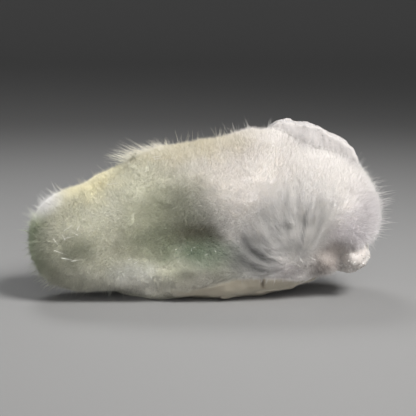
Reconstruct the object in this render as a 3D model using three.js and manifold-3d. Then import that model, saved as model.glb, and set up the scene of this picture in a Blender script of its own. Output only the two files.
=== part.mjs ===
// Okenite puffball on a piece of its pale crust, in millimetres.
// +X runs along the specimen to its round white ball, +Y to its back and +Z up.
// The origin is on the surface that the specimen rests on, under the middle of its box.
// Two pieces: the felted mass of okenite needles, and the thin crust that it grew from.
import * as THREE from "three";
import { ImprovedNoise } from "three/addons/math/ImprovedNoise.js";
import { mergeVertices } from "three/addons/utils/BufferGeometryUtils.js";
import Module from "manifold-3d";

const wasm = await Module();
wasm.setup();
const noise = new ImprovedNoise();

// The felted mass is these lobes grown into each other. "at" is a centre and "size" its half-sizes.
const lobes = [
  { name: "snout", at: [-13.75, -3.4, 6.4], size: [5.4, 6.6, 5.4] },
  { name: "left shoulder", at: [-6.8, -2.6, 9.05], size: [6.9, 7.4, 6.0] },
  { name: "left skirt", at: [-6.65, -3.6, 3.6], size: [8.9, 5.6, 2.5] },
  { name: "ridge", at: [-0.05, -1, 10.3], size: [9.2, 8.0, 6.4] },
  { name: "crown", at: [5.25, -0.2, 10.9], size: [4.8, 7.4, 6.9] },
  { name: "ball", at: [10.85, -0.8, 8.5], size: [7.6, 8.8, 6.5] },
  { name: "ball skirt", at: [3.15, -2.6, 4.2], size: [6.5, 6.0, 3.3] },
];
const lobeBlend = 0.9; // how far neighbouring lobes melt into each other

// The crust's knob, which the mass makes room for.
const knob = { name: "knob", at: [14.8, -1.2, 4.25], size: [1.95, 4.2, 1.45] };
const knobRoot = { name: "knob root", at: [12.9, -2.4, 4.3], size: [2.3, 4.6, 1.6] }; // joins it to the pan
const knobRoom = 0.5; // wider than the clearance between the pieces, so that it meets nothing

// Hollows in the mass: the deep one between its two ends and the valley that leads down to it, the
// scallop where the ball is parted and shows its fibres, the small one beside the knob, the mouth
// that lets the knob's end show, the arch under the ball, and the knob's pocket.
const arch = { name: "arch", at: [15.95, 0, -1.7], size: [6.0, 40, 5.1] };
const hollows = [
  { name: "deep hollow", at: [-1.5, -11.2, 6.8], size: [4.3, 4.8, 2.9], blend: 0.9 },
  { name: "valley", at: [-3.4, -12.4, 9.8], size: [4.8, 4.6, 4.6], blend: 1.1 },
  { name: "scallop", at: [8.85, -13.3, 6.5], size: [6.8, 5.0, 6.0], blend: 1.2 },
  { name: "side hollow", at: [12.95, -8.6, 4.6], size: [1.9, 3.0, 1.9], blend: 0.35 },
  { name: "knob mouth", at: [15.2, -6.2, 3.4], size: [2.2, 4.4, 1.5], blend: 0.3 },
  { ...arch, blend: 0.5 },
  { ...knob, size: knob.size.map((half) => half + knobRoom), blend: 0.2 },
];

const massCentre = [-0.55, -1.6, 7.6];
const massSpine = 9; // half the length of the line that its rays start on
const massDetail = 12; // steps along each edge of the icosahedron that the mass is sculpted from
const lumpHeight = 0.3; // soft swellings of the felt
const lumpWidth = 3.4;

// The fan: bundles of fibres that spread over the scallop from the heart of the ball.
const heart = new THREE.Vector3(9.55, 0, 3.7);
const fan = {
  count: 24,
  from: 46, // degrees above +X, seen from the front
  to: 184,
  start: 0.9,
  length: [5.2, 8.4],
  radius: [0.34, 0.56],
  sink: 0.12, // depth of a bundle's axis under the felt
};

// Tufts that stand out of the felt. Each has its count, the range of X that they stand on, the
// angle of that place round X (0 faces front, 90 up), the way they lean, and their reach.
const tufts = [
  {
    name: "crest",
    count: 8,
    x: [-8.1, -4.7],
    round: [62, 108],
    lean: [-0.93, -0.05, 0.33],
    reach: [1.0, 1.9],
  },
  {
    name: "snout",
    count: 8,
    x: [-18.55, -17.15],
    round: [-30, 75],
    lean: [-1, -0.05, 0.1],
    reach: [0.6, 1.1],
  },
  {
    name: "snout foot",
    count: 5,
    x: [-17.55, -15.05],
    round: [-75, -30],
    lean: [-0.85, -0.1, -0.5],
    reach: [0.6, 1.1],
  },
  {
    name: "ball side",
    count: 10,
    x: [16.25, 17.85],
    round: [-25, 80],
    lean: [0.98, -0.05, 0.15],
    reach: [0.8, 1.7],
  },
  {
    name: "crown",
    count: 4,
    x: [2.85, 5.85],
    round: [72, 98],
    lean: [0.1, 0, 1],
    reach: [0.5, 1.0],
  },
  {
    name: "back",
    count: 9,
    x: [-15.55, 2.45],
    round: [112, 205],
    lean: [-0.1, 0.9, 0.25],
    reach: [0.5, 1.0],
  },
];
const tuftRadius = [0.2, 0.42];
const tuftSpread = 0.9; // how far neighbours in a tuft lean apart

// The crust: a cap behind the ball, a pan under the whole mass and the knob at its right end.
const cap = { at: [8.35, 2.6, 9.6], size: [9.1, 7.3, 8.6] };
const pan = { at: [-1.05, -1.6, 3.1], size: [13.6, 7.1, 3.5] };
const panSpine = 5;
const capDetail = 7;
const panDetail = 6;
const knobDetail = 3;
const roomDetail = 8; // of the hollow that the mass sits in
const capFrontY = 1.6; // the cap is broken off here, in a face that looks forward
const panRimZ = 2.4; // and the pan here, in a ragged rim
const breakHeight = 0.35; // how ragged those breaks are
const breakWidth = 1.7;
const breakCell = 1.3;
const crustLump = 0.5; // height of the crust's lumps
const crustLumpWidth = 2.4;
const seat = 0.35; // clearance between crust and felt
const beyond = 30; // reach of the tools that cut, past anything they cut
const halvings = 30; // of the span that a surface point is sought in
const probeSteps = 400; // that a probe may take to the mass
const probeStep = 0.01; // the least of them, and how near is near enough

const felt = new THREE.MeshStandardMaterial({ color: "#dcd9ce", roughness: 0.95, metalness: 0 });
const chalcedony = new THREE.MeshStandardMaterial({ color: "#d9d4c8", roughness: 0.6, metalness: 0 });

// Distance from a point to a lobe's surface, near enough, and negative inside it.
function lobeDistance(p, { at, size }) {
  const [x, y, z] = [p.x - at[0], p.y - at[1], p.z - at[2]];
  const k0 = Math.hypot(x / size[0], y / size[1], z / size[2]);
  const k1 = Math.hypot(x / size[0] ** 2, y / size[1] ** 2, z / size[2] ** 2);
  return k1 > 0 ? (k0 * (k0 - 1)) / k1 : -Math.min(...size);
}

function softMin(distances, blend) {
  const least = Math.min(...distances);
  const sum = distances.reduce((s, d) => s + Math.exp((least - d) / blend), 0);
  return least - blend * Math.log(sum);
}

// The mass before its lumps and locks.
function massDistance(p) {
  let d = softMin(lobes.map((lobe) => lobeDistance(p, lobe)), lobeBlend);
  for (const hollow of hollows) d = -softMin([-d, lobeDistance(p, hollow)], hollow.blend);
  return d;
}

// A shape with nothing but its places, whose faces share their corners.
function welded(shape) {
  shape.deleteAttribute("normal");
  shape.deleteAttribute("uv");
  return mergeVertices(shape, 1e-5);
}

// Moves the points of a round mesh out along rays until they lie on a surface. The rays start on a
// spine along X, so that a long body gets even triangles from end to end.
function sculpt(detail, distance, centre, spineHalf, relief = () => 0) {
  const geometry = welded(new THREE.IcosahedronGeometry(1, detail));
  const position = geometry.attributes.position;
  const ray = new THREE.Vector3();
  const start = new THREE.Vector3();
  const point = new THREE.Vector3();
  for (let i = 0; i < position.count; i++) {
    ray.fromBufferAttribute(position, i).normalize();
    start.set(...centre);
    start.x += spineHalf * ray.x;
    let near = 0;
    let far = beyond;
    for (let halving = 0; halving < halvings; halving++) {
      const middle = (near + far) / 2;
      point.copy(start).addScaledVector(ray, middle);
      if (distance(point) < 0) near = middle;
      else far = middle;
    }
    point.addScaledVector(ray, relief(point));
    position.setXYZ(i, point.x, point.y, point.z);
  }
  return geometry;
}

// A closed shape as a solid.
function solid(shape) {
  const { attributes, index } = welded(shape);
  return new wasm.Manifold(
    new wasm.Mesh({
      numProp: 3,
      vertProperties: new Float32Array(attributes.position.array),
      triVerts: new Uint32Array(index.array),
    }),
  );
}

// The largest closed shell of a solid, without loose crumbs and without voids sealed inside it.
function largest(manifold) {
  return manifold.decompose().reduce((most, one) => (one.volume() > most.volume() ? one : most));
}

function geometryOf(manifold) {
  const mesh = manifold.getMesh();
  return new THREE.BufferGeometry()
    .setAttribute("position", new THREE.BufferAttribute(mesh.vertProperties, 3))
    .setIndex(new THREE.BufferAttribute(mesh.triVerts, 1));
}

function lump(p) {
  return lumpHeight * noise.noise(p.x / lumpWidth, p.y / lumpWidth, p.z / lumpWidth);
}

function crustRelief(p) {
  return crustLump * noise.noise(p.x / crustLumpWidth, p.y / crustLumpWidth, p.z / crustLumpWidth);
}

function feltMass() {
  return solid(sculpt(massDetail, massDistance, massCentre, massSpine, lump));
}

// A slender spindle from one point to another, as a bundle of fibres is.
function spindle(from, to, radius, sides) {
  const along = to.clone().sub(from);
  const shape = new THREE.SphereGeometry(1, sides, 3);
  shape.scale(radius, along.length() / 2, radius);
  shape.applyQuaternion(
    new THREE.Quaternion().setFromUnitVectors(new THREE.Vector3(0, 1, 0), along.clone().normalize()),
  );
  shape.translate(...from.clone().add(to).multiplyScalar(0.5).toArray());
  return solid(shape);
}

// The first point of the mass that a probe meets on its way from start along ray.
function touch(start, ray) {
  const point = start.clone();
  for (let step = 0; step < probeSteps && massDistance(point) > probeStep; step++) {
    point.addScaledVector(ray, Math.max(0.4 * massDistance(point), probeStep));
  }
  return point;
}

// A scattered but repeatable number from 0 to 1 for the i-th of something.
function share(i, salt) {
  const mixed = Math.sin(i * 12.9898 + salt * 78.233) * 43758.5453;
  return mixed - Math.floor(mixed);
}

function between([low, high], part) {
  return THREE.MathUtils.lerp(low, high, part);
}

function fanLocks() {
  const back = new THREE.Vector3(0, 1, 0);
  return Array.from({ length: fan.count }, (_, i) => {
    const turn = THREE.MathUtils.degToRad(between([fan.from, fan.to], (i + share(i, 1)) / fan.count));
    const out = new THREE.Vector3(Math.cos(turn), 0, Math.sin(turn));
    const onFace = (reach) => {
      const point = touch(heart.clone().addScaledVector(out, reach).setY(-beyond), back);
      return point.addScaledVector(back, fan.sink - lump(point));
    };
    const reach = between(fan.length, share(i, 2) * Math.sqrt(Math.abs(Math.sin(turn))));
    const [from, middle, to] = [0, 0.5, 1].map((part) => onFace(fan.start + part * reach));
    const lift = middle.sub(from.clone().lerp(to, 0.5)); // so that the face's swell doesn't bury it
    return spindle(from.add(lift), to.add(lift), between(fan.radius, share(i, 3)), 5);
  });
}

function tuftLocks({ count, x, round, lean, reach }, salt) {
  return Array.from({ length: count }, (_, i) => {
    const angle = THREE.MathUtils.degToRad(between(round, (i + share(i, salt)) / count));
    const side = new THREE.Vector3(0, -Math.cos(angle), Math.sin(angle));
    const start = new THREE.Vector3(between(x, share(i * 2, salt + 1)), massCentre[1], massCentre[2]);
    const root = touch(start.addScaledVector(side, beyond), side.clone().negate());
    const sway = [2, 3, 4].map((more) => tuftSpread * (share(i, salt + more) - 0.5));
    const out = new THREE.Vector3(...lean).add(new THREE.Vector3(...sway)).normalize();
    out.multiplyScalar(between(reach, share(i, salt + 5)));
    return spindle(root.clone().sub(out), root.clone().add(out), between(tuftRadius, share(i, salt + 6)), 5);
  });
}

function buildMass() {
  const standing = tufts.flatMap((tuft, i) => tuftLocks(tuft, 10 * i + 4));
  return largest([...fanLocks(), ...standing].reduce((mass, one) => mass.add(one), feltMass()));
}

// A block whose lower face, at zero, is rough as a break is. It cuts away what lies above it.
function roughBlock() {
  const cells = Math.round((2 * beyond) / breakCell);
  const block = new THREE.BoxGeometry(2 * beyond, 2 * beyond, beyond, cells, cells, 1);
  block.translate(0, 0, beyond / 2);
  const position = block.attributes.position;
  for (let i = 0; i < position.count; i++) {
    if (position.getZ(i) > 0) continue;
    const [x, y] = [position.getX(i) / breakWidth, position.getY(i) / breakWidth];
    position.setZ(i, breakHeight * noise.noise(x, y, 0.5));
  }
  return block;
}

function ellipsoid(detail, { at, size }, spineHalf, relief) {
  return solid(sculpt(detail, (p) => lobeDistance(p, { at, size }), at, spineHalf, relief));
}

function buildCrust() {
  const inFront = solid(roughBlock().rotateX(Math.PI / 2).translate(0, capFrontY, 0));
  const aboveRim = solid(roughBlock().translate(0, 0, panRimZ));
  const backCap = ellipsoid(capDetail, cap, 0, crustRelief).subtract(inFront);
  const lowPan = ellipsoid(panDetail, pan, panSpine, crustRelief).subtract(aboveRim);
  const endKnob = ellipsoid(knobDetail, knob, 0, crustRelief).add(ellipsoid(knobDetail, knobRoot, 0, crustRelief));
  const room = solid(sculpt(roomDetail, (p) => massDistance(p) - seat, massCentre, massSpine, lump));
  // By the knob the room is too coarse, so a lowered copy of the mass clears that end.
  const lowered = feltMass().translate(0, 0, -seat).trimByPlane([1, 0, 0], knobRoot.at[0] - knobRoot.size[0]);
  const underArch = ellipsoid(capDetail, arch, 0);
  const block = new THREE.BoxGeometry(2 * beyond, 2 * beyond, beyond);
  const underFloor = solid(block.translate(0, 0, -beyond / 2));
  const grown = backCap.add(lowPan).subtract(underArch).add(endKnob);
  return largest(grown.subtract(room).subtract(lowered).subtract(underFloor));
}

function piece(name, manifold, material) {
  const mesh = new THREE.Mesh(geometryOf(manifold), material);
  mesh.name = name;
  return mesh;
}

const specimen = new THREE.Group();
specimen.add(piece("puffball", buildMass(), felt));
specimen.add(piece("crust", buildCrust(), chalcedony));

export default specimen;
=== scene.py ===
# Okenite puffball: a felt of hair-fine needles grown on a piece of pale crust.
# Lengths are in metres unless a note says mm, and mm turns millimetres into them.
# +X runs to the round white ball, +Y to the back and +Z up.
import math

import bmesh
import bpy
import numpy as np
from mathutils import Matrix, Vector, noise
from mathutils.bvhtree import BVHTree


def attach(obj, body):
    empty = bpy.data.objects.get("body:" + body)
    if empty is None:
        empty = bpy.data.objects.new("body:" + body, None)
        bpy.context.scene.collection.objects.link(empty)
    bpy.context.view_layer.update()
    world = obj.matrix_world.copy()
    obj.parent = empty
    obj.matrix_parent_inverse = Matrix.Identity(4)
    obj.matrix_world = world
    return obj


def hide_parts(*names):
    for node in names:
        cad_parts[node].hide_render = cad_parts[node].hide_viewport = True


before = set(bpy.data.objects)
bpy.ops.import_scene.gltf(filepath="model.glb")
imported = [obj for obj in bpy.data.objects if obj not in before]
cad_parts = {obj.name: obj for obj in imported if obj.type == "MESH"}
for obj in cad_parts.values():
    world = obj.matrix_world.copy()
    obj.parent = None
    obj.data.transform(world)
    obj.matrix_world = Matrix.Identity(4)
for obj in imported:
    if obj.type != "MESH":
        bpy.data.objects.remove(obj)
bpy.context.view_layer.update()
mm = 0.001
scene = bpy.context.scene


def linear(hexColour):
    parts = [int(hexColour[i : i + 2], 16) / 255 for i in (1, 3, 5)]
    return [((c + 0.055) / 1.055) ** 2.4 if c > 0.04045 else c / 12.92 for c in parts]


# links holds each socket's value, or the socket that feeds it
def addNode(tree, kind, settings={}, links={}):
    node = tree.nodes.new(kind)
    for name, value in settings.items():
        setattr(node, name, value)
    for socket, value in links.items():
        if isinstance(value, bpy.types.NodeSocket):
            tree.links.new(value, node.inputs[socket])
        else:
            node.inputs[socket].default_value = value
    return node


def maths(tree, operation, a, b):
    return addNode(tree, "ShaderNodeMath", {"operation": operation}, {0: a, 1: b}).outputs[0]


def vectorMaths(tree, operation, links):
    return addNode(tree, "ShaderNodeVectorMath", {"operation": operation}, links).outputs[0]


def smooth(values, low, high):  # 0 at low, 1 at high, eased between them
    t = np.clip((values - low) / (high - low), 0, 1)
    return t * t * (3 - 2 * t)


def grade(values, most, low, high):  # 0 at low, most at high
    return most * smooth(values, low, high)


def unit(vectors):
    return vectors / (np.linalg.norm(vectors, axis=1, keepdims=True) + 1e-12)


def along(vectors, normals):  # how far each vector goes along its normal
    return np.sum(vectors * normals, axis=1)


def levelled(vectors, normals):  # each vector laid down on the surface
    return unit(vectors - normals * along(vectors, normals)[:, None])


def cloud(points, width, offset=0.0):  # soft noise from -1 to 1, with blobs about one width across
    return np.array([noise.noise(Vector((x + offset, y, z))) for x, y, z in points / width])


def near(points, centre, reach, core=0.5):  # 1 in the middle of an ellipsoid, 0 outside it
    return smooth(np.linalg.norm((points - centre) / reach, axis=1), 1.0, core)


def blended(first, second, share):  # all first at share 0, all second at 1
    return first * (1 - share[:, None]) + second * share[:, None]


def plain(points, colour):  # one colour for every point
    return np.ones((len(points), 3)) * linear(colour)


def mixed(paint, colour, share):
    return blended(paint, np.array(linear(colour)), share)


def skinOf(mesh):  # each vertex's place in mm, and its normal
    found = []
    for field in ("co", "normal"):
        flat = np.empty(len(mesh.vertices) * 3, np.float32)
        mesh.vertices.foreach_get(field, flat)
        found.append(flat.reshape(-1, 3).astype(float))
    return found[0] / mm, found[1]


def moveTo(mesh, points):  # points in mm
    mesh.vertices.foreach_set("co", (points * mm).astype(np.float32).ravel())
    mesh.update()


def storeOn(mesh, name, values):
    kind, field = ("FLOAT", "value") if values.ndim == 1 else ("FLOAT_VECTOR", "vector")
    if name in mesh.attributes:
        mesh.attributes.remove(mesh.attributes[name])
    layer = mesh.attributes.new(name, kind, "POINT")
    layer.data.foreach_set(field, values.astype(np.float32).ravel())


def frozen(host, name):  # a plain mesh of what the host's modifiers make
    graph = bpy.context.evaluated_depsgraph_get()
    mesh = bpy.data.meshes.new_from_object(host.evaluated_get(graph), depsgraph=graph)
    mesh.name = name
    piece = bpy.data.objects.new(name, mesh)
    scene.collection.objects.link(piece)
    return piece


def copied(node, cuts=()):  # a solid's mesh, less what lies beyond each cutting plane
    form = bmesh.new()
    form.from_mesh(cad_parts[node].data)
    bmesh.ops.remove_doubles(form, verts=form.verts, dist=1e-7)
    for place, facing in cuts:
        every = form.verts[:] + form.edges[:] + form.faces[:]
        plane = {"plane_co": Vector(place) * mm, "plane_no": facing, "clear_outer": True}
        cut = bmesh.ops.bisect_plane(form, geom=every, **plane)
        rim = [e for e in cut["geom_cut"] if isinstance(e, bmesh.types.BMEdge)]
        bmesh.ops.holes_fill(form, edges=rim)
    return form


def boulder(centre, reach):  # a plain ellipsoid, in mm
    form = bmesh.new()
    bmesh.ops.create_icosphere(form, subdivisions=4, radius=mm)
    for corner in form.verts:
        corner.co = Vector([a * b + c * mm for a, b, c in zip(corner.co, reach, centre)])
    return form


def melted(forms, name, voxel, rounds):  # one even, softened skin over all the forms
    mesh = bpy.data.meshes.new(name + "Host")
    joined = bmesh.new()
    for form in forms:
        form.to_mesh(mesh)
        joined.from_mesh(mesh)
        form.free()
    joined.to_mesh(mesh)
    joined.free()
    host = bpy.data.objects.new(name + "Host", mesh)
    scene.collection.objects.link(host)
    remesh = host.modifiers.new("remesh", "REMESH")
    remesh.mode = "VOXEL"
    remesh.voxel_size = voxel
    soften = host.modifiers.new("soften", "SMOOTH")
    soften.factor = 0.5
    soften.iterations = rounds
    piece = frozen(host, name)
    bpy.data.objects.remove(host)
    piece.data.shade_smooth()
    return piece


# In each round, every vertex's values go halfway to the mean of its neighbours'.
def softened(mesh, values, rounds):
    ends = np.empty(len(mesh.edges) * 2, np.int32)
    mesh.edges.foreach_get("vertices", ends)
    a, b = ends.reshape(-1, 2).T
    count = np.bincount(ends, minlength=len(values))
    columns = np.atleast_2d(values.T).copy()
    for _ in range(rounds):
        for column in columns:
            sums = np.bincount(a, column[b], len(column)) + np.bincount(b, column[a], len(column))
            column += 0.5 * (sums / count - column)
    return columns[0] if values.ndim == 1 else columns.T


def areaWith(mesh, weight):
    mesh.calc_loop_triangles()
    corners = np.empty(len(mesh.loop_triangles) * 3, np.int32)
    mesh.loop_triangles.foreach_get("vertices", corners)
    corners = corners.reshape(-1, 3)
    p = skinOf(mesh)[0] * mm
    a, b, c = p[corners[:, 0]], p[corners[:, 1]], p[corners[:, 2]]
    area = np.linalg.norm(np.cross(b - a, c - a), axis=1) / 2
    return float(np.sum(area * weight[corners].mean(axis=1)))


def sizesOf(values):  # the ones that a Geometry Nodes tree takes
    return {name: value for name, value in values.items() if name[0].isupper()}


# Colours of the felt. Each tint has its centre and reach in mm, its colour, and its strength.
feltColours = {
    "ball": "#f9f6f3",  # clean white needles
    "snout": "#d6d5c6",  # pale cream with a green cast
    "turn": (-6.0, 4.0),  # X in mm from and to, where the cream turns white
    "wander": [(0.2, 2.1, 40), (0.1, 0.8, 80)],  # of the tints' borders: how much, width, offset
    "fade": (1.25, 0.3),  # the shares of its reach where a tint starts, and where it is whole
    "speckle": 0.03,
    "speckleWidth": 0.6,
}

feltTints = {
    "snoutSide": [(-18.9, -4.0, 5.5), (3.2, 7.0, 6.0), "#bccaa9", 0.75],
    "snoutLow": [(-11.5, -8.0, 1.8), (8.0, 6.0, 3.4), "#d4d3c7", 0.75],
    "ridgeLeft": [(-10.8, -7.0, 10.2), (2.6, 4.5, 2.2), "#f2f1e5", 0.6],
    "crestShade": [(-4.6, -5.0, 12.8), (4.4, 6.0, 2.6), "#c3c2ae", 0.5],
    # the snout's yellow rim: its own yellow, made lighter with painted light from above
    "yellowRimPaintedLight": [(-12.4, -2.5, 12.0), (5.6, 6.5, 3.3), "#fbf6dc", 0.85],
    # painted shade: the top of the ball a little darker
    "crown": [(1.0, -3.5, 14.2), (9.0, 9.0, 5.6), "#ded9d3", 0.6],
    "creamTop": [(-4.0, -1.0, 16.5), (9.0, 7.0, 3.2), "#e0d9c2", 0.7],
    "whiteCap": [(-17.2, -3.2, 9.9), (2.6, 5.0, 2.1), "#fdfcfa", 1.0],
    "snoutFront": [(-16.4, -8.0, 4.8), (2.6, 5.0, 3.2), "#bbbca8", 0.5],
    # painted shade on the dark side of a small bump on the snout
    "bumpPaintedShade": [(-13.4, -9.2, 5.9), (2.1, 3.0, 1.8), "#82866f", 0.5],
    # The hollow between the lobes: its own olive colour, darker with painted shade where it lies
    # deep.
    "valley": [(-3.8, -7.0, 9.0), (4.4, 4.5, 4.4), "#a9ab97", 0.65],
    "valleyLeft": [(-6.8, -7.5, 7.8), (2.6, 5.0, 5.0), "#b8b9a5", 0.6],
    "oliveShadeTail": [(-4.8, -8.5, 6.3), (3.6, 4.0, 2.3), "#8d917c", 0.65],
    "deepOliveShade": [(-0.8, -7.0, 6.9), (3.1, 3.4, 1.7), "#827f6a", 0.75],
    "greenRight": [(1.8, -8.5, 3.8), (2.8, 4.0, 2.0), "#a3a692", 0.6],
    "greenPatch": [(-0.8, -8.0, 5.2), (4.3, 4.0, 1.9), "#8a9b80", 0.8],
    "paleBulge": [(-7.8, -9.0, 3.1), (3.2, 4.0, 1.8), "#dfdfda", 0.7],
    "greyBulge": [(-2.8, -8.5, 3.5), (2.2, 4.0, 1.2), "#b9bba9", 0.6],
    "bulgeFoot": [(-7.6, -7.5, 1.5), (4.6, 6.0, 1.7), "#f2f0e8", 0.8],
    # darker towards the foot: painted shade over a grey tone
    "greyFootShade": [(1.0, -7.0, 1.2), (7.0, 7.0, 2.9), "#a6a398", 0.75],
    # painted shade under the fan's heart and under the knob's root
    "underHeartShade": [(8.6, -8.5, 3.3), (3.0, 3.0, 1.3), "#a7a2a2", 0.8],
    "underRootShade": [(11.9, -7.0, 3.3), (2.2, 4.0, 1.4), "#aaa39f", 0.8],
    # painted shade in the deep left side of the fan
    "fanLeftShade": [(4.6, -8.5, 4.6), (3.4, 4.0, 3.0), "#a3a3a1", 0.7],
    # painted shade under the ball's overhang
    "ballUnderShade": [(14.2, -8.0, 7.2), (3.2, 4.0, 1.9), "#cfc9ca", 0.6],
    "ballRight": [(16.8, -6.0, 8.0), (4.4, 7.0, 4.8), "#e2dee1", 0.6],
    # painted shadow that the crust casts on the felt below it
    "crustShadowLeft": [(10.4, 0.6, 15.7), (2.6, 3.0, 1.1), "#cbc7c6", 0.6],
    "crustShadowRight": [(14.2, 0.4, 13.7), (2.8, 3.0, 1.4), "#c6c2c2", 0.6],
    # painted shade in the recess beside the knob, brownish grey
    "recess": [(12.7, -7.0, 4.8), (2.6, 4.0, 2.3), "#c9c0ba", 0.7],
}


def feltPaint(points):
    toBall = smooth(points[:, 0], *feltColours["turn"])
    paint = mixed(plain(points, feltColours["snout"]), feltColours["ball"], toBall)
    wander = sum(share * cloud(points, width, at) for share, width, at in feltColours["wander"])
    for centre, reach, colour, strength in feltTints.values():
        away = np.linalg.norm((points - centre) / reach, axis=1) + wander
        paint = mixed(paint, colour, strength * smooth(away, *feltColours["fade"]))
    speckle = feltColours["speckle"] * cloud(points, feltColours["speckleWidth"], 11)
    return paint * (1 + speckle)[:, None]


def newMaterial(name, settings):
    material = bpy.data.materials.new(name)
    material.use_nodes = True
    tree = material.node_tree
    surface = tree.nodes["Principled BSDF"]
    for socket, value in settings.items():
        surface.inputs[socket].default_value = value
    return material, tree, surface


def layerOf(tree, name, output="Color"):  # what the mesh carries for each vertex
    return addNode(tree, "ShaderNodeAttribute", {"attribute_name": name}).outputs[output]


# Matted okenite: needles too fine to tell apart, which pass light on inside the felt.
def feltMaterial():
    settings = {
        "Roughness": 0.85,
        "Specular IOR Level": 0.2,
        "Subsurface Weight": 1.0,
        "Subsurface Radius": (1.0, 0.97, 0.9),
        "Subsurface Scale": 0.6 * mm,
    }
    material, tree, surface = newMaterial("okeniteFelt", settings)
    tree.links.new(layerOf(tree, "paint"), surface.inputs["Base Color"])
    return material


# Clear to white crystal needles with a silky gloss, drawn wider than their 0.01 mm to show.
def needleMaterial():
    settings = {"Roughness": 0.42, "IOR": 1.54, "Transmission Weight": 0.3}
    material, tree, surface = newMaterial("okeniteNeedles", settings)
    links = {0: layerOf(tree, "paint"), "Scale": layerOf(tree, "tone", "Fac")}
    tree.links.new(vectorMaths(tree, "SCALE", links), surface.inputs["Base Color"])
    return material


def crustMaterial():  # compact zeolite crust: finely granular, pale, faintly translucent
    settings = {
        "Roughness": 0.68,
        "Subsurface Weight": 0.7,
        "Subsurface Radius": (1.0, 0.94, 0.85),
        "Subsurface Scale": 0.4 * mm,
    }
    mottle = {"Scale": 1 / (0.6 * mm), "Detail": 3.0}
    grain = {"Scale": 1 / (0.22 * mm), "Detail": 2.0}
    material, tree, surface = newMaterial("paleCrust", settings)
    position = addNode(tree, "ShaderNodeTexCoord").outputs["Object"]
    mottled, grained = (
        addNode(tree, "ShaderNodeTexNoise", {}, {"Vector": position, **values}).outputs[0]
        for values in (mottle, grain)
    )
    links = {"Value": mottled, "To Min": 0.9, "To Max": 1.06}
    shade = addNode(tree, "ShaderNodeMapRange", {}, links)
    links = {0: layerOf(tree, "paint"), "Scale": shade.outputs[0]}
    tree.links.new(vectorMaths(tree, "SCALE", links), surface.inputs["Base Color"])
    links = {"Height": grained, "Strength": 0.5, "Distance": 0.06 * mm}
    bump = addNode(tree, "ShaderNodeBump", {}, links)
    tree.links.new(bump.outputs[0], surface.inputs["Normal"])
    return material


def clearMaterial(name, colour, roughness, clearness):  # colourless to faintly green crystal
    settings = {
        "Base Color": (*linear(colour), 1),
        "Roughness": roughness,
        "IOR": 1.54,
        "Transmission Weight": clearness,
    }
    return newMaterial(name, settings)[0]


# The felt's core: the solid's form with its spindles melted into swells, a little under the
# solid's skin. In mm, but for the voxel. A pair of places is where something starts and where
# it is whole, and a centre and a reach stand for an ellipsoid.
core = {
    "voxel": 0.19 * mm,
    "feltedTo": 2.0,  # the felt hides the crust's left end up to this X
    "frontTo": (11.5, 1.5, 3.4),  # and takes in the pan's front edge up to this X, Y and Z
    "fills": [
        ((2.0, -4.7, 3.3), (9.5, 3.95, 2.3)),  # hangs over the pan's lip
        ((12.0, -2.4, 4.6), (2.1, 5.0, 2.1)),  # on the knob's root
        ((12.9, -2.2, 5.9), (2.7, 4.9, 1.8)),  # and over it
        ((-8.8, -1.6, 12.2), (3.2, 3.3, 2.3)),  # below the crest
    ],
    "rounds": 60,
    "giveBack": 0.6,  # the most by which a place goes back towards its old skin
    "relief": (-0.5, 0.16),  # of the fan's own relief, how much stays in and out
    "reliefRounds": (8, 6),  # rounds that soften that relief, before and after it is limited
    "finalRounds": 10,
    # The line below the crest that the form is cut back to: its X, its Z at the right end, its
    # slope, and how far the left and right ends rise over run.
    "brow": {"x": (-12.5, -8.0), "top": 14.7, "slope": 0.42, "rises": (0.6, 0.9), "run": 1.2},
    "smoothed": [
        ((17.2, -4.5, 9.0), (3.4, 6.0, 5.0)),  # the ball's right side
        ((-9.0, -2.5, 13.2), (4.0, 4.5, 3.0)),  # below the crest
    ],
    "smoothing": 60,
    "lump": 0.11,
    "lumpWidth": 1.6,
    "under": 0.2,
    # How much more it lies under where the felt is long: on top, and at both ends, by X.
    "underTop": 0.35,
    "topTo": (7.5, 5.5),
    "underLeft": (0.25, -16.0, -18.8),
    "underRight": (0.5, 15.0, 18.5),
    # Low down it lies a little outside the solid's skin, and is uneven.
    "foot": [(-4.0, -6.0, 0.0), (16.0, 12.0, 2.2)],
    "footOut": 0.1,
    "footLump": 0.16,
    "footLumpWidth": 0.9,
    "recess": [(13.0, -7.0, 5.3), (1.9, 3.0, 2.0)],  # the dip beside the knob
    "recessDepth": 0.2,
    # The lip of the bare edge goes in: how far, and where along X, Y and Z, from both sides.
    "lip": {"in": 0.3, "x": (0.4, 4.0, 12.0, 10.0), "y": (-2.0, -4.0), "z": (1.3, 2.3, 3.2, 2.5)},
    "spine": (-13.0, 10.5, -1.5, 5.0),  # needles point away from it: X from and to, Y and Z
    "swirlWidth": 3.2,
    "matted": 0.2,  # how far needles lie over in swirls, and how much further on the snout
    "mattedSnout": (0.25, 2.0, -6.0),
}

# The bare crust edge in front, under the felt, and the crack in it.
edge = {
    "from": (-5.0, -2.0),  # X where it comes out of the felt, and where it goes back in
    "to": (11.8, 10.8),
    "back": (-2.0, -3.5),  # Y
    "top": 2.75,  # its upper line at topAt, and how it falls towards the left and the right
    "topAt": 3.0,
    "fallLeft": 0.3,
    "fallLeftTo": 5.0,
    "fall": 0.105,
    "steep": 0.14,
    "steepFrom": 7.5,
    "soft": 0.2,
    "wander": 0.12,
    "wanderWidth": 1.1,
    "cream": "#aaa394",
    "crack": (5.5, 2.1),  # X and Z
    "crackLean": 0.15,
    "crackEnds": (0.9, 0.5),
    "crackWidth": 0.17,
    "crackDepth": 0.4,
    "crackColour": "#6b6156",
}

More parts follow.
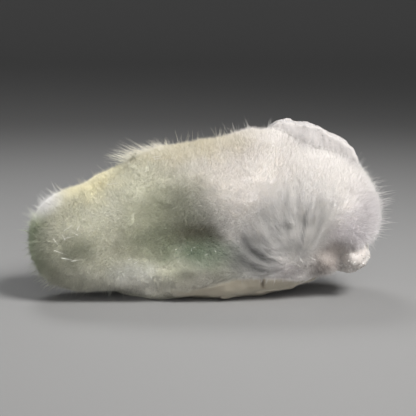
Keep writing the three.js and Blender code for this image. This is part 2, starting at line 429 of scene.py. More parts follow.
# The parted face of the ball, where bundles of needles fan out from one heart. In mm, and in
# degrees above +X.
fan = {
    "heart": (8.95, 4.1),  # X and Z
    "angles": (30, 52, 190, 214),  # where it fades in and out
    "radii": (0.4, 1.6, 4.8, 10.4),
    "leftFrom": (100, 150),  # between these angles its reach shortens to leftShort
    "leftShort": 0.72,
    "bend": 0.06,  # the share by which bundles turn upwards over each mm beyond bendFrom
    "bendFrom": 2.7,
    "mostBend": 25,
    "combed": (30, 60, 180, 215),  # angles of the wider face that is combed along the fan
    "combedTo": (15.0, 9.0),
    "bundles": 9.5,  # fine grooves to the radian
    "stretch": 0.16,  # how much slower the grooves change outwards
    "depth": 0.14,
    # painted light: the parted face is painted whiter than the felt, less so towards the left
    "white": "#fffdfa",
    "paintedLightShare": 0.8,
    "paintedLightFrom": (160, 130),  # angles
    # painted shade in the fine grooves between bundles
    "grooveShade": "#a5a3a4",
    "grooveShadeShare": 0.3,
    "gapDepth": 0.1,
    "gapShadeColour": "#5c5c5a",
    "gapWander": 1.6,  # degrees
    "gapWanderWidth": 0.9,
    "gapEnds": (2.0, 3.2),  # how softly a gap starts and ends
    # The wide gaps between bundles: degrees, half width in degrees, from and to in mm, and how
    # dark their painted shade is.
    "gaps": [
        (172, 9.0, 1.6, 8.6, 0.95),
        (194, 9.0, 1.8, 8.4, 0.95),
        (154, 3.0, 3.6, 7.2, 0.12),
        (134, 2.4, 2.4, 6.4, 0.2),
        (119, 2.0, 2.6, 6.4, 0.12),
        (105, 2.6, 1.6, 7.0, 0.38),
        (79, 3.4, 1.4, 7.4, 0.26),
        (58, 2.6, 2.2, 7.2, 0.28),
        (45, 2.8, 1.8, 6.8, 0.34),
    ],
}


# Each point's distance and angle from the heart, its bundle's angle, and how much it belongs to
# the parted face and to the combed one.
def fanPlaces(points, normals):
    x, z = points[:, 0] - fan["heart"][0], points[:, 2] - fan["heart"][1]
    radius, angle = np.hypot(x, z), np.degrees(np.arctan2(z, x))
    angle = np.where(angle < -90, angle + 360, angle)
    bend = fan["bend"] * np.maximum(radius - fan["bendFrom"], 0)
    bundle = 90 + (angle - 90) / np.maximum(1 - bend, 0.6)
    reached = radius / (1 - (1 - fan["leftShort"]) * smooth(angle, *fan["leftFrom"]))
    a0, a1, a2, a3 = fan["angles"]
    r0, r1, r2, r3 = fan["radii"]
    parted = smooth(bundle, a0, a1) * smooth(bundle, a3, a2)
    parted = parted * smooth(radius, r0, r1) * smooth(reached, r3, r2)
    a0, a1, a2, a3 = fan["combed"]
    combed = smooth(angle, a0, a1) * smooth(angle, a3, a2) * smooth(radius, *fan["combedTo"])
    facing = -normals[:, 1]
    parted, combed = parted * smooth(facing, 0.1, 0.5), combed * smooth(facing, -0.3, 0.3)
    return radius, angle, bundle, parted, combed


def ridgesAt(radius, bundle):  # above 0 on the bundles' fine ridges, below 0 in the grooves
    level = np.zeros(len(radius))
    polar = np.stack([np.radians(bundle) * fan["bundles"], radius * fan["stretch"], level], axis=1)
    return cloud(polar, 1, 3) + 0.5 * cloud(polar * [2.1, 1.4, 1], 1, 21)


def gapsAt(points, radius, bundle):  # how dark the painted shade of the wide gaps is
    wander = fan["gapWander"] * cloud(points, fan["gapWanderWidth"], 90)
    first, last = fan["gapEnds"]
    dark = np.zeros(len(points))
    for at, half, start, end, strength in fan["gaps"]:
        across = np.exp(-(((bundle + wander - at) / half) ** 2))
        run = smooth(radius, start, start + first) * smooth(radius, end, end - last)
        dark = np.maximum(dark, strength * across * run)
    return dark


def edgeAt(points):  # 1 on the bare edge of the crust
    x, y, z = points.T
    top = edge["top"] - edge["fall"] * np.maximum(x - edge["topAt"], 0)
    top -= edge["steep"] * np.maximum(x - edge["steepFrom"], 0)
    top -= edge["fallLeft"] * np.clip(edge["topAt"] - x, 0, edge["fallLeftTo"])
    top = top + edge["wander"] * cloud(points, edge["wanderWidth"], 44)
    below = smooth(z, top + edge["soft"], top - edge["soft"])
    return smooth(x, *edge["from"]) * smooth(x, *edge["to"]) * below * smooth(y, *edge["back"])


def crackAt(points, bare):  # 1 in the middle of the crack
    x, z = points[:, 0], points[:, 2]
    crackX, crackZ = edge["crack"]
    across = (x - crackX + edge["crackLean"] * (z - crackZ)) / edge["crackWidth"]
    return bare * np.exp(-(across**2)) * smooth(np.abs(z - crackZ), *edge["crackEnds"])


def evened(mesh):  # softens the form but keeps its size, and the relief of the combed face
    points = skinOf(mesh)[0]
    moveTo(mesh, softened(mesh, points, core["rounds"]))
    soft, normals = skinOf(mesh)
    lost = np.clip(along(points - soft, normals), -core["giveBack"], core["giveBack"])
    soft += normals * softened(mesh, lost, core["rounds"])[:, None]
    before, after = core["reliefRounds"]
    relief = np.clip(along(softened(mesh, points, before) - soft, normals), *core["relief"])
    kept = softened(mesh, relief * fanPlaces(soft, normals)[-1], after)
    moveTo(mesh, soft + normals * kept[:, None])


def cutBack(mesh):  # below the crest, where single needles take the place of a solid tuft
    points = skinOf(mesh)[0]
    brow = core["brow"]
    start, end = brow["x"]
    left, right = brow["rises"]
    under = (points[:, 0] > start) & (points[:, 0] < end)
    x, z = points[under, 0], points[under, 2]
    lid = brow["top"] + brow["slope"] * (x - end) + right * smooth(x, end - brow["run"], end)
    points[under, 2] = np.minimum(z, lid + left * smooth(x, start + brow["run"], start))
    moveTo(mesh, points)


def coreForm():  # one skin over the solids' forms and the fills
    x, y, z = core["frontTo"]
    left = copied("crust", [((core["feltedTo"], 0, 0), (1, 0, 0))])
    front = [((x, 0, 0), (1, 0, 0)), ((0, y, 0), (0, 1, 0)), ((0, 0, z), (0, 0, 1))]
    fills = [boulder(*fill) for fill in core["fills"]]
    forms = [copied("puffball"), left, copied("crust", front), *fills]
    rough = melted(forms, "feltForm", core["voxel"], 2)
    evened(rough.data)
    cutBack(rough.data)
    form = bmesh.new()
    form.from_mesh(rough.data)
    piece = melted([form], "feltCore", core["voxel"], core["finalRounds"])
    bpy.data.objects.remove(rough)
    mesh = piece.data
    points = skinOf(mesh)[0]
    share = np.max([near(points, *place, 0.5) for place in core["smoothed"]], axis=0)
    moveTo(mesh, blended(points, softened(mesh, points, core["smoothing"]), share))
    return piece


def coreHeight(points, normals, bare):  # how far the core goes out, apart from the fan
    x, y, z = points.T
    width = core["lumpWidth"]
    height = core["lump"] * (cloud(points, width) + 0.5 * cloud(points, width / 2.2, 9))
    low = near(points, *core["foot"], 0.2)
    onTop = core["underTop"] * smooth(normals[:, 2], 0.3, 0.9) * smooth(x, *core["topTo"])
    under = core["under"] + onTop
    under += grade(x, *core["underRight"]) + grade(x, *core["underLeft"])
    foot = core["footLump"] * cloud(points, core["footLumpWidth"], 70) + core["footOut"]
    height += low * foot * (1 - bare) - under * (1 - np.maximum(low, bare))
    height -= core["recessDepth"] * near(points, *core["recess"], 0.3)
    lip = core["lip"]
    inFront = smooth(x, *lip["x"][:2]) * smooth(x, *lip["x"][2:]) * smooth(y, *lip["y"])
    height -= inFront * lip["in"] * smooth(z, *lip["z"][:2]) * smooth(z, *lip["z"][2:])
    return height


def leanAt(points, normals, radius, angle, bundle, parted, combed):  # which way needles point
    left, right, back, height = core["spine"]
    spine = np.tile([0.0, back, height], (len(points), 1))
    spine[:, 0] = np.clip(points[:, 0], left, right)
    swirl = np.stack([cloud(points, core["swirlWidth"], k) for k in (0, 31, 57)], axis=1)
    matted = (core["matted"] + grade(points[:, 0], *core["mattedSnout"]))[:, None]
    lean = unit(0.6 * normals + 0.4 * unit(points - spine) + matted * levelled(swirl, normals))
    bent = np.where(radius > fan["bendFrom"], (bundle - 90) * fan["bend"] * radius, 0)
    turn = np.radians(angle - np.clip(bent, -fan["mostBend"], fan["mostBend"]))
    outward = np.stack([np.cos(turn), np.zeros(len(points)), np.sin(turn)], axis=1)
    outward = levelled(outward, normals)
    lean = unit(blended(lean, unit(0.45 * outward + 0.8 * normals), combed))
    return unit(blended(lean, unit(outward + 0.5 * normals), parted))


def buildCore():
    piece = coreForm()
    mesh = piece.data
    points, normals = skinOf(mesh)
    storeOn(mesh, "facing", normals)
    bare = edgeAt(points)
    crack = crackAt(points, bare)
    height = coreHeight(points, normals, bare)
    radius, angle, bundle, parted, combed = fanPlaces(points, normals)
    ridges = ridgesAt(radius, bundle)
    gaps = parted * gapsAt(points, radius, bundle) * (0.75 + 0.25 * smooth(ridges, 0.4, -0.3))
    height += parted * fan["depth"] * (1.6 * ridges - 0.3) - fan["gapDepth"] * gaps
    height -= edge["crackDepth"] * crack
    moved = points + normals * height[:, None]
    moved[:, 2] = np.maximum(moved[:, 2], 0.05)
    moveTo(mesh, moved)

    points, normals = skinOf(mesh)
    # painted light on the parted face
    white = fan["paintedLightShare"] * parted * smooth(angle, *fan["paintedLightFrom"])
    paint = mixed(feltPaint(points), fan["white"], white)
    # painted shade in the fine grooves and in the wide gaps, then the bare edge's own cream
    paint = mixed(paint, fan["grooveShade"], parted * smooth(ridges, 0.1, -0.45) * fan["grooveShadeShare"])
    paint = mixed(mixed(paint, fan["gapShadeColour"], gaps), edge["cream"], bare)
    storeOn(mesh, "paint", mixed(paint, edge["crackColour"], crack))
    storeOn(mesh, "lean", leanAt(points, normals, radius, angle, bundle, parted, combed))
    return piece, {"parted": parted, "ridge": smooth(ridges, -0.5, 0.3), "gaps": gaps, "bare": bare}


def carried(tree, name, kind="FLOAT"):  # what the host's points carry under this name
    settings = {"data_type": kind}
    return addNode(tree, "GeometryNodeInputNamedAttribute", settings, {"Name": name}).outputs[0]


def chance(tree, seed, low=0.0, high=1.0):  # a random number for each point
    links = {2: low, 3: high, "Seed": seed}
    return addNode(tree, "FunctionNodeRandomValue", {"data_type": "FLOAT"}, links).outputs[1]


def vectorChance(tree, seed, low, high):
    links = {0: low, 1: high, "Seed": seed}
    settings = {"data_type": "FLOAT_VECTOR"}
    return addNode(tree, "FunctionNodeRandomValue", settings, links).outputs[0]


def newTree(name, sizes):  # with a host mesh, sizes, a seed and a finish to set
    tree = bpy.data.node_groups.new(name, "GeometryNodeTree")

    def socket(called, kind, value=None, way="INPUT"):
        made = tree.interface.new_socket(name=called, in_out=way, socket_type="NodeSocket" + kind)
        if value is not None:
            made.default_value = value

    socket("Host", "Geometry")
    for size, value in sizes.items():
        socket(size, "Float", value)
    socket("Seed", "Int", 1)
    socket("Finish", "Material")
    socket("Result", "Geometry", way="OUTPUT")
    given = addNode(tree, "NodeGroupInput").outputs
    density = maths(tree, "MULTIPLY", given["Density"], carried(tree, "growth"))
    links = {"Mesh": given["Host"], "Density": density, "Seed": given["Seed"]}
    settings = {"distribute_method": "RANDOM"}
    roots = addNode(tree, "GeometryNodeDistributePointsOnFaces", settings, links)
    return tree, given, roots.outputs["Points"]


def endTree(tree, given, points, shape, rotation, scale, shadedAsHost=False):
    links = {"Points": points, "Instance": shape, "Rotation": rotation, "Scale": scale}
    placed = addNode(tree, "GeometryNodeInstanceOnPoints", {}, links)
    real = addNode(tree, "GeometryNodeRealizeInstances", {}, {0: placed.outputs[0]})
    if shadedAsHost:  # the felt scatters light as one surface, so its needles take its normals
        facing = carried(tree, "facing", "FLOAT_VECTOR")
        links = {"Mesh": real.outputs[0], "Custom Normal": facing}
        settings = {"mode": "FREE", "domain": "POINT"}
        real = addNode(tree, "GeometryNodeSetMeshNormal", settings, links)
    links = {"Geometry": real.outputs[0], "Material": given["Finish"]}
    finished = addNode(tree, "GeometryNodeSetMaterial", {}, links)
    addNode(tree, "NodeGroupOutput", {}, {0: finished.outputs[0]})
    return tree


def bladeShape(tree):  # one long triangle, a unit wide and high, with its tip up
    links = {"Vertices": 3, "Radius": 2 / 3}
    face = addNode(tree, "GeometryNodeMeshCircle", {"fill_type": "NGON"}, links)
    links = {"Geometry": face.outputs[0], "Translation": (0, 0, 1 / 3)}
    links["Rotation"] = (0, -math.pi / 2, 0)
    return addNode(tree, "GeometryNodeTransform", {}, links).outputs[0]


def rolled(tree, turn):  # turned at random about its own length
    links = {"Axis": (0, 0, 1), "Angle": chance(tree, 9, 0.0, math.pi)}
    roll = addNode(tree, "FunctionNodeAxisAngleToRotation", {}, links)
    links = {"Rotation": turn, "Rotate By": roll.outputs[0]}
    settings = {"rotation_space": "LOCAL"}
    return addNode(tree, "FunctionNodeRotateRotation", settings, links).outputs[0]


def coneShape(tree):  # three-sided, closed and pointed
    links = {"Vertices": 3, "Radius Top": 0.0, "Radius Bottom": 0.5, "Depth": 1.0}
    cone = addNode(tree, "GeometryNodeMeshCone", {"fill_type": "NGON"}, links)
    return cone.outputs["Mesh"]


def bristleTree(name, flat):  # needles that lean with the host's own lean, and stop at the ground
    sizes = {
        "Density": 1.0,
        "Shortest": 0.3 * mm,
        "Longest": 0.8 * mm,
        "Width": 0.03 * mm,
        "Scatter": 0.4,
        "Dimmest": 0.9,
    }
    fewLong = 2.4  # the higher, the fewer long needles among the short ones
    tree, given, roots = newTree(name, sizes)
    stray = vectorChance(tree, given["Seed"], (-1, -1, -1), (1, 1, 1))
    strayed = vectorMaths(tree, "SCALE", {0: stray, "Scale": given["Scatter"]})
    lean = carried(tree, "lean", "FLOAT_VECTOR")
    aim = vectorMaths(tree, "NORMALIZE", {0: vectorMaths(tree, "ADD", {0: lean, 1: strayed})})
    align = addNode(tree, "FunctionNodeAlignRotationToVector", {"axis": "Z"}, {"Vector": aim})
    turn = align.outputs[0]
    share = maths(tree, "POWER", chance(tree, 7), fewLong)
    links = {"Value": share, "To Min": given["Shortest"], "To Max": given["Longest"]}
    length = addNode(tree, "ShaderNodeMapRange", {}, links)
    full = maths(tree, "MULTIPLY", length.outputs[0], carried(tree, "reach"))
    place = addNode(tree, "GeometryNodeInputPosition").outputs[0]
    height = addNode(tree, "ShaderNodeSeparateXYZ", {}, {0: place}).outputs["Z"]
    rise = addNode(tree, "ShaderNodeSeparateXYZ", {}, {0: aim}).outputs["Z"]
    drop = maths(tree, "MAXIMUM", maths(tree, "MULTIPLY", rise, -1.0), 0.0001)
    fitted = maths(tree, "MINIMUM", full, maths(tree, "DIVIDE", height, drop))
    links = {0: given["Width"], 1: given["Width"], 2: fitted}
    size = addNode(tree, "ShaderNodeCombineXYZ", {}, links).outputs[0]
    shape = bladeShape(tree) if flat else coneShape(tree)
    if flat:
        turn = rolled(tree, turn)
    dim = chance(tree, 3, given["Dimmest"])
    links = {"Geometry": roots, "Name": "tone", "Value": dim}
    settings = {"data_type": "FLOAT", "domain": "POINT"}
    toned = addNode(tree, "GeometryNodeStoreNamedAttribute", settings, links)
    return endTree(tree, given, toned.outputs[0], shape, turn, size, flat)


def grainTree():  # small faceted grains, each squashed and turned its own way
    sizes = {"Density": 1.0, "Smallest": 0.1 * mm, "Largest": 0.3 * mm}
    squashed = ((0.6, 0.6, 0.6), (1.1, 1.1, 1.3))
    turned = ((0, 0, 0), (6.3, 6.3, 6.3))
    fewLarge = 2.0
    tree, given, seats = newTree("grains", sizes)
    share = maths(tree, "POWER", chance(tree, 5), fewLarge)
    links = {"Value": share, "To Min": given["Smallest"], "To Max": given["Largest"]}
    width = addNode(tree, "ShaderNodeMapRange", {}, links).outputs[0]
    size = vectorMaths(tree, "SCALE", {0: vectorChance(tree, 6, *squashed), "Scale": width})
    turn = vectorChance(tree, 8, *turned)
    rotation = addNode(tree, "FunctionNodeEulerToRotation", {}, {0: turn}).outputs[0]
    grain = addNode(tree, "GeometryNodeMeshIcoSphere", {}, {"Radius": 0.5, "Subdivisions": 1})
    return endTree(tree, given, seats, grain.outputs["Mesh"], rotation, size)


# Grows count needles or grains on the host, as thickly as growth says in each place.
def grow(host, tree, name, growth, count, values, reach=None):
    mesh = host.data
    storeOn(mesh, "growth", growth)
    storeOn(mesh, "reach", np.ones(len(growth)) if reach is None else reach)
    modifier = host.modifiers.new(name, "NODES")
    modifier.node_group = tree
    given = {"Density": count / areaWith(mesh, growth), **values}
    for item in tree.interface.items_tree:
        if item.in_out == "INPUT" and item.name in given:
            modifier[item.identifier] = given[item.name]
    piece = frozen(host, name)
    host.modifiers.remove(modifier)
    for layer in ("lean", "growth", "reach", "facing"):
        if layer in piece.data.attributes:
            piece.data.attributes.remove(piece.data.attributes[layer])
    print(name, len(piece.data.polygons), "faces")
    return piece


# The glassy knob at the lower right, as an ellipsoid a little outside its surface, in mm.
knob = {
    "centre": (15.0, -1.4, 4.3),
    "reach": (3.2, 6.4, 3.0),
    "lumps": [(0.26, 0.9, 50), (0.12, 0.45, 60)],  # height, width and offset
    "colour": "#c1bab5",
}

felt = {
    "pieces": 4,
    "perPiece": 150000,  # needles
    "backShare": 0.4,  # how thickly needles stand on the back, beside 1 on the front
    # The share by which needles are shorter in each place.
    "snoutShort": 0.25,
    "fanShort": 0.25,
    "gapShort": 0.45,
    "knobShort": 0.5,
    "edgeShort": 0.7,
    "footShort": 0.5,
    "crownShort": 0.3,
    "Shortest": 0.15 * mm,
    "Longest": 1.1 * mm,
    "Width": 0.03 * mm,
    "Scatter": 0.7,
    "Dimmest": 0.93,
}

strands = {
    "count": 3500,
    "Shortest": 0.8 * mm,
    "Longest": 2.4 * mm,
    "Width": 0.04 * mm,
    "Scatter": 0.14,
    "Dimmest": 0.9,
}

strays = {
    "count": 3600,
    "leftEnd": (-14.5, -17.5),  # X in mm where they get thicker, and where they are thickest
    "rightEnd": (13.5, 16.5),
    "top": (0.12, 13.0, 16.0),  # how many more there are on top, by Z in mm
    "elsewhere": 0.12,
    "fanLess": 0.8,  # the share by which there are fewer on the parted face
    "overEdgeX": (0.0, 3.0),  # there are none over the bare edge, from here in mm
    "overEdgeZ": (4.4, 3.4),
    "Shortest": 0.6 * mm,
    "Longest": 2.1 * mm,
    "Width": 0.04 * mm,
    "Scatter": 0.55,
    "Dimmest": 0.95,
}

tuftSizes = {"Scatter": 0.22, "Dimmest": 0.95}

# Longer tufts: centre and reach in mm, the way they lean, how many needles, their length and
# width in mm.
tufts = {
    "crestEnd": [(-7.3, -1.2, 14.0), (1.8, 3.0, 1.9), (-0.95, -0.1, 0.22), 190, (1.2, 3.6), 0.04],
    "crest": [(-5.4, -1.2, 14.8), (2.2, 3.0, 1.8), (-0.85, -0.05, 0.4), 190, (0.8, 2.2), 0.04],
    "crestMid": [(-2.6, -1.2, 15.6), (2.6, 3.0, 1.8), (-0.85, -0.05, 0.4), 200, (0.3, 0.9), 0.038],
    "snoutTop": [(-15.6, -1.5, 11.4), (1.6, 2.0, 1.6), (-0.35, -0.1, 0.95), 8, (1.1, 2.0), 0.045],
    "snoutFoot": [(-16.8, -3.4, 1.8), (2.2, 5.0, 2.2), (-0.8, -0.2, -0.45), 150, (0.7, 1.9), 0.05],
    "snoutSide": [(-18.2, -2.6, 6.6), (1.6, 5.0, 4.0), (-1.0, -0.1, 0.05), 150, (0.5, 1.3), 0.05],
    "ballSide": [(17.2, -1.0, 8.6), (2.2, 4.5, 4.6), (1.0, -0.1, 0.12), 150, (0.8, 2.9), 0.06],
    "crown": [(5.2, -0.2, 16.6), (2.4, 3.5, 1.9), (0.0, 0.0, 1.0), 130, (0.3, 0.8), 0.045],
}


def evenSplit(weight, position, count):  # cuts the weight into equal shares along one axis
    order = np.argsort(position)
    total = np.cumsum(weight[order])
    shares = [total[-1] * k / count for k in range(1, count)]
    bounds = [-1e9, *(position[order][np.searchsorted(total, share)] for share in shares), 1e9]
    return [
        weight * ((position > low) & (position <= high)) for low, high in zip(bounds, bounds[1:])
    ]


def feltReach(points, parted, gaps, bare):  # the felt's length in each place, beside 1
    x, z = points[:, 0], points[:, 2]
    byKnob = near(points, knob["centre"], knob["reach"], 0.7)
    inRecess = near(points, *core["recess"], 0.5)
    reach = 1.0 - felt["snoutShort"] * smooth(x, 0.0, -6.0) - felt["fanShort"] * parted
    reach *= 1 - felt["gapShort"] * gaps
    atKnob = 1 - felt["knobShort"] * np.maximum(byKnob, inRecess)
    reach *= atKnob * (1 - felt["edgeShort"] * smooth(bare, 0.0, 0.5))
    atFoot = 1 - felt["footShort"] * smooth(z, 3.2, 1.4)
    onCrown = 1 - felt["crownShort"] * smooth(z, 9.0, 13.0) * smooth(x, 8.5, 6.0)
    return reach * (atFoot * onCrown)


def buildNeedles(host, places, finish):
    points, normals = skinOf(host.data)
    x, z = points[:, 0], points[:, 2]
    parted, ridge, gaps, bare = (places[name] for name in ("parted", "ridge", "gaps", "bare"))
    weight = smooth(-normals[:, 1], -0.6, 0.2) * (1 - felt["backShare"]) + felt["backShare"]
    weight *= 1 - smooth(bare, 0.2, 0.8)
    reach = feltReach(points, parted, gaps, bare)
    pieces = []
    for i, growth in enumerate(evenSplit(weight, x, felt["pieces"])):
        values = {**sizesOf(felt), "Seed": 11 + i, "Finish": finish}
        pieces.append(grow(host, blades, f"felt{i + 1}", growth, felt["perPiece"], values, reach))
    values = {**sizesOf(strands), "Seed": 31, "Finish": finish}
    streaks = parted * (0.25 + 0.75 * ridge) * (1 - np.minimum(gaps * 1.5, 0.95))
    pieces.append(grow(host, bristles, "fanStrands", streaks, strands["count"], values))
    ends = smooth(x, *strays["leftEnd"]) + smooth(x, *strays["rightEnd"])
    ends = ends + grade(z, *strays["top"]) + strays["elsewhere"]
    overEdge = smooth(x, *strays["overEdgeX"]) * smooth(z, *strays["overEdgeZ"])
    growth = ends * (1 - strays["fanLess"] * parted) * (1 - bare) * (1 - overEdge)
    values = {**sizesOf(strays), "Seed": 41, "Finish": finish}
    pieces.append(grow(host, bristles, "strays", growth, strays["count"], values))
    for i, (name, (centre, span, lean, count, lengths, width)) in enumerate(tufts.items()):
        storeOn(host.data, "lean", unit(np.array(lean) + 0.15 * normals))
        growth = near(points, centre, span, 0.6)
        values = {
            "Shortest": lengths[0] * mm,
            "Longest": lengths[1] * mm,
            "Width": width * mm,
            "Seed": 61 + i,
            "Finish": finish,
            **tuftSizes,
        }
        pieces.append(grow(host, bristles, name + "Tuft", growth, count, values))
    return pieces


# Single bright needles that lie on the felt: place across and up in mm from the middle of the
# front view, degrees above +X, and length in mm.
lying = {
    "width": 0.075,
    "lift": 0.72,
    "colour": "#fbfaf6",
    "needles": [
        (-9.2, 2.1, -5, 2.0),
        (-5.1, 4.8, 0, 1.2),
        (-5.0, 4.6, -4, 0.9),
        (-9.9, 0.7, 3, 0.7),
        (-14.2, -2.2, 35, 1.1),
        (-13.6, -2.6, 150, 1.0),
        (-13.9, -3.0, 12, 1.2),
        (-14.6, -2.9, 120, 0.8),
        (-13.2, -2.1, 64, 0.9),
        (-14.9, -4.4, -18, 1.5),
        (-14.2, -4.9, -8, 1.3),
        (-13.3, -5.1, 10, 1.2),
        (-15.3, -3.6, -50, 1.0),
        (-9.9, -6.4, 60, 0.6),
        (-7.3, -5.5, 35, 0.9),
        (-8.0, -5.2, 15, 0.7),
        (3.9, 0.4, -30, 0.8),
        (13.1, 4.8, -48, 0.8),
        (9.7, -4.9, 118, 1.1),
        (10.2, -5.3, 100, 0.9),
        (10.6, -4.7, 132, 1.0),
        (11.1, -5.2, 80, 0.8),
        (9.2, -5.6, 140, 0.9),
        (9.8, -7.1, 172, 1.8),
        (-3.5, -4.4, 20, 0.4),
        (-1.7, -4.3, 80, 0.35),
        (-1.4, -4.2, 10, 0.3),
        (-0.1, -5.3, 40, 0.4),
        (1.0, -4.5, 120, 0.45),
        (-3.1, -6.0, 70, 0.35),
        (-2.2, -5.1, 150, 0.3),
    ],
}


def buildLying(host, finish):
    tilt = math.radians(view["elevation"])
    ahead = Vector((0, math.cos(tilt), -math.sin(tilt)))
    up = Vector((0, math.sin(tilt), math.cos(tilt)))
    body = bmesh.new()
    body.from_mesh(host.data)
    tree = BVHTree.FromBMesh(body)
    body.free()
    corners, faces = [], []
    for across, height, degrees, length in lying["needles"]:
        start = (Vector(view["target"]) + Vector((across, 0, 0)) + up * height - ahead * 40) * mm
        place, normal = tree.ray_cast(start, ahead)[:2]
        turn = math.radians(degrees)
        aim = Vector((1, 0, 0)) * math.cos(turn) + up * math.sin(turn)
        aim = (aim - normal * aim.dot(normal)).normalized()
        side = aim.cross(normal).normalized()
        root = place + normal * lying["lift"] * mm - aim * length / 2 * mm
        half = lying["width"] / 2 * mm
        base = len(corners)
        for k in range(3):
            spread = 2 * math.pi * k / 3
            corners.append(root + half * (math.cos(spread) * normal + math.sin(spread) * side))
        corners.append(root + aim * length * mm)
        faces += [(base + a, base + b, base + 3) for a, b in ((0, 1), (1, 2), (2, 0))]
        faces.append((base + 2, base + 1, base))
    mesh = bpy.data.meshes.new("lyingNeedles")
    mesh.from_pydata(corners, [], faces)
    form = bmesh.new()
    form.from_mesh(mesh)
    bmesh.ops.recalc_face_normals(form, faces=form.faces)
    form.to_mesh(mesh)
    form.free()
    storeOn(mesh, "paint", plain(corners, lying["colour"]))
    storeOn(mesh, "tone", np.ones(len(corners)))
    mesh.materials.append(finish)
    piece = bpy.data.objects.new("lyingNeedles", mesh)
    scene.collection.objects.link(piece)
    print("lyingNeedles", len(faces), "faces")
    return piece


# The crust, in mm apart from its voxel.
crust = {
    "voxel": 0.15 * mm,
    "from": 1.2,  # X where the felt has hidden it
    "underFelt": [(14.6, -1.7, 4.45), (2.5, 5.4, 1.9)],  # more of the knob, up into the felt
    "worn": [(1.0, -8.0, 2.2), (13.0, 5.0, 1.6)],  # the low rim
    "wear": 40,
    "setBack": (0, 0.8, 0),  # the felt's core takes in its front
    "lump": 0.16,
    "lumpWidth": 1.3,
    "grain": 0.07,
    "grainWidth": 0.45,
    "brokenFrom": (6.0, 8.0),  # Z where the broken face starts, and where it is whole
    "calm": 0.6,  # how much flatter the broken face is
    "streak": 0.05,  # fine upright fibres on the broken face
    "streakWidth": 0.28,
    "root": [(12.6, -6.0, 4.4), (2.6, 3.6, 2.4)],  # of the knob
    "rootBack": 1.4,  # how far it is moved back
    "sunk": 0.7,  # how far its upper left end lies down in the felt, by X and Z
    "sunkX": (8.0, 5.5),
    "sunkZ": (10.0, 13.0),
    "pale": "#bebab8",
    "cream": "#b4ad9e",
    "creamZ": (5.0, 2.0),
    "rootShade": "#998d82",  # painted shade, brownish grey, where it comes out from under the felt
    "rootShadeMark": [(12.0, -4.5, 5.6), (2.4, 4.0, 2.4)],
    "fleck": 0.05,
}


def buildCrust():
    kept = copied("crust", [((crust["from"], 0, 0), (-1, 0, 0))])
    piece = melted([kept, boulder(*crust["underFelt"])], "crustSkin", crust["voxel"], 2)
    mesh = piece.data
    points = skinOf(mesh)[0]
    onRim = near(points, *crust["worn"], 0.6)
    moveTo(mesh, blended(points, softened(mesh, points, crust["wear"]) + crust["setBack"], onRim))
    points, normals = skinOf(mesh)
    height = crust["lump"] * cloud(points, crust["lumpWidth"])
    height += crust["grain"] * cloud(points, crust["grainWidth"], 5)
    broken = smooth(-normals[:, 1], 0.4, 0.8) * smooth(points[:, 2], *crust["brokenFrom"])
    height *= 1 - crust["calm"] * broken
    lumps = sum(share * cloud(points, width, at) for share, width, at in knob["lumps"])
    height += near(points, knob["centre"], knob["reach"], 0.7) * lumps
    streaks = cloud(points * [1, 0.3, 0.16], crust["streakWidth"], 33)
    height += crust["streak"] * broken * streaks
    moved = points + normals * (height * smooth(points[:, 2], 0.0, 0.4))[:, None]
    moved[:, 1] += crust["rootBack"] * near(points, *crust["root"], 0.4)
    sunk = crust["sunk"] * smooth(points[:, 0], *crust["sunkX"])
    moved[:, 2] -= sunk * smooth(points[:, 2], *crust["sunkZ"])
    moved[:, 2] = np.maximum(moved[:, 2], 0)
    moveTo(mesh, moved)
    points = skinOf(mesh)[0]
    low = smooth(points[:, 2], *crust["creamZ"])
    paint = mixed(plain(points, crust["pale"]), crust["cream"], low)
    paint = mixed(paint, knob["colour"], near(points, knob["centre"], knob["reach"], 0.8))
    # painted shade on the knob's root, under the felt's overhang
    paint = mixed(paint, crust["rootShade"], near(points, *crust["rootShadeMark"], 0.4))
    fleck = crust["fleck"] * cloud(points * [1, 0.3, 0.2], 0.3, 12)
    storeOn(mesh, "paint", paint * (1 + fleck)[:, None])
    return piece


grains = {
    "rimGrains": {"count": 900, "Smallest": 0.06 * mm, "Largest": 0.19 * mm, "Seed": 71},
    "knobGrains": {"count": 1500, "Smallest": 0.1 * mm, "Largest": 0.3 * mm, "Seed": 72},
    "greenGrains": {"count": 260, "Smallest": 0.09 * mm, "Largest": 0.26 * mm, "Seed": 73},
    "hollow": [(-0.6, -8.5, 5.5), (4.2, 4.0, 1.9)],  # centre and reach of the green ones, in mm
}


def growGrains(host, name, growth, finish):
    values = {**sizesOf(grains[name]), "Finish": finish}
    return grow(host, grainsOver, name, growth, grains[name]["count"], values)


def buildGrains(skin, feltCore):
    clear = clearMaterial("clearGrains", "#f6f3ef", 0.15, 0.4)
    points, normals = skinOf(skin.data)
    onRim = smooth(points[:, 2], 7.0, 9.0) * smooth(normals[:, 2] - normals[:, 1], 0.2, 0.8)
    onKnob = near(points, knob["centre"], knob["reach"], 0.75)
    onCrust = [
        growGrains(skin, "rimGrains", onRim, crustFinish),
        growGrains(skin, "knobGrains", onKnob, clear),
    ]
    points, normals = skinOf(feltCore.data)
    green = clearMaterial("greenGrains", "#cfe8d4", 0.08, 0.6)
    inHollow = near(points, *grains["hollow"], 0.4) * (normals[:, 1] < 0)
    return onCrust, [growGrains(feltCore, "greenGrains", inHollow, green)]


studio = {
    "floor": "#8e8e8e",
    "reach": 1.8,
    "bend": 0.25,
    "bendSteps": 12,
    "behind": 0.45,  # from the specimen to the foot of the bend
    "worldColour": "#ffffff",
    "worldStrength": 0.18,
    "aim": (0, 0, 0.009),  # what the lamps point at
}

lamps = {
    "key": {
        "at": (0.14, -0.17, 0.21),
        "size": 0.12,
        "watts": 0.15,
        "colour": "#fffdfb",
        "spread": 60,
    },
    "front": {
        "at": (0.04, -0.32, 0.1),
        "size": 0.2,
        "watts": 0.05,
        "colour": "#ffffff",
        "spread": 60,
    },
    "rim": {
        "at": (-0.06, 0.2, 0.22),
        "size": 0.12,
        "watts": 0.045,
        "colour": "#ffffff",
        "spread": 70,
    },
}


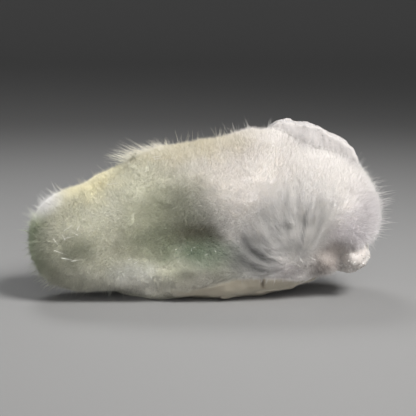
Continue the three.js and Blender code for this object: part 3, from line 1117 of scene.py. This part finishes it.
def buildStage():
    reach, bend, foot = studio["reach"], studio["bend"], studio["behind"]
    profile = [(-reach, 0.0)]
    for k in range(studio["bendSteps"] + 1):
        turn = math.pi / 2 * k / studio["bendSteps"]
        profile.append((foot + bend * math.sin(turn), bend - bend * math.cos(turn)))
    profile.append((foot + bend, reach))
    corners = [(side * reach * 1.5, y, z) for y, z in profile for side in (-1, 1)]
    faces = [(2 * k, 2 * k + 1, 2 * k + 3, 2 * k + 2) for k in range(len(profile) - 1)]
    mesh = bpy.data.meshes.new("floor")
    mesh.from_pydata(corners, [], faces)
    mesh.shade_smooth()
    paper = {"Base Color": (*linear(studio["floor"]), 1), "Roughness": 0.8}
    mesh.materials.append(newMaterial("studioPaper", paper)[0])
    floor = bpy.data.objects.new("floor", mesh)
    scene.collection.objects.link(floor)


def buildLights():
    world = bpy.data.worlds.new("studio")
    world.use_nodes = True
    back = world.node_tree.nodes["Background"]
    back.inputs["Color"].default_value = (*linear(studio["worldColour"]), 1)
    back.inputs["Strength"].default_value = studio["worldStrength"]
    scene.world = world
    for name, lamp in lamps.items():
        light = bpy.data.lights.new(name, "AREA")
        light.shape = "DISK"
        light.size = lamp["size"]
        light.energy = lamp["watts"]
        light.color = linear(lamp["colour"])
        light.spread = math.radians(lamp["spread"])
        holder = bpy.data.objects.new(name, light)
        holder.location = lamp["at"]
        aim = Vector(studio["aim"]) - holder.location
        holder.rotation_euler = aim.to_track_quat("-Z", "Y").to_euler()
        scene.collection.objects.link(holder)


# The camera, in mm, and in degrees above the level.
view = {
    "target": (-0.17, -0.5, 9.05),
    "distance": 182,
    "elevation": 8.0,
    "lens": 146.6,
    "sensor": 36.0,
}


def buildCamera():
    camera = bpy.data.cameras.new("camera")
    camera.lens = view["lens"]
    camera.sensor_width = view["sensor"]
    camera.clip_start = 0.01
    camera.clip_end = 10
    holder = bpy.data.objects.new("camera", camera)
    tilt = math.radians(view["elevation"])
    back = Vector((0, -math.cos(tilt), math.sin(tilt)))
    holder.location = (Vector(view["target"]) + back * view["distance"]) * mm
    holder.rotation_euler = (math.pi / 2 - tilt, 0, 0)
    scene.collection.objects.link(holder)
    scene.camera = holder


buildCamera()
scene.view_settings.view_transform = "Standard"
blades = bristleTree("blades", flat=True)
bristles = bristleTree("bristles", flat=False)
grainsOver = grainTree()
needleFinish = needleMaterial()
crustFinish = crustMaterial()
feltCore, places = buildCore()
feltCore.data.materials.append(feltMaterial())
print("core", len(feltCore.data.polygons), "faces")
onFelt = buildNeedles(feltCore, places, needleFinish)
onFelt.append(buildLying(feltCore, needleFinish))
skin = buildCrust()
skin.data.materials.append(crustFinish)
print("crust", len(skin.data.polygons), "faces")
onCrust, inHollow = buildGrains(skin, feltCore)

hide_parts("puffball")
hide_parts("crust")
shown = {"okenite_fibre": [feltCore, *onFelt, *inHollow], "pale_crust": [skin, *onCrust]}
for slot, pieces in shown.items():
    for piece in pieces:
        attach(piece, "root")

buildStage()
buildLights()
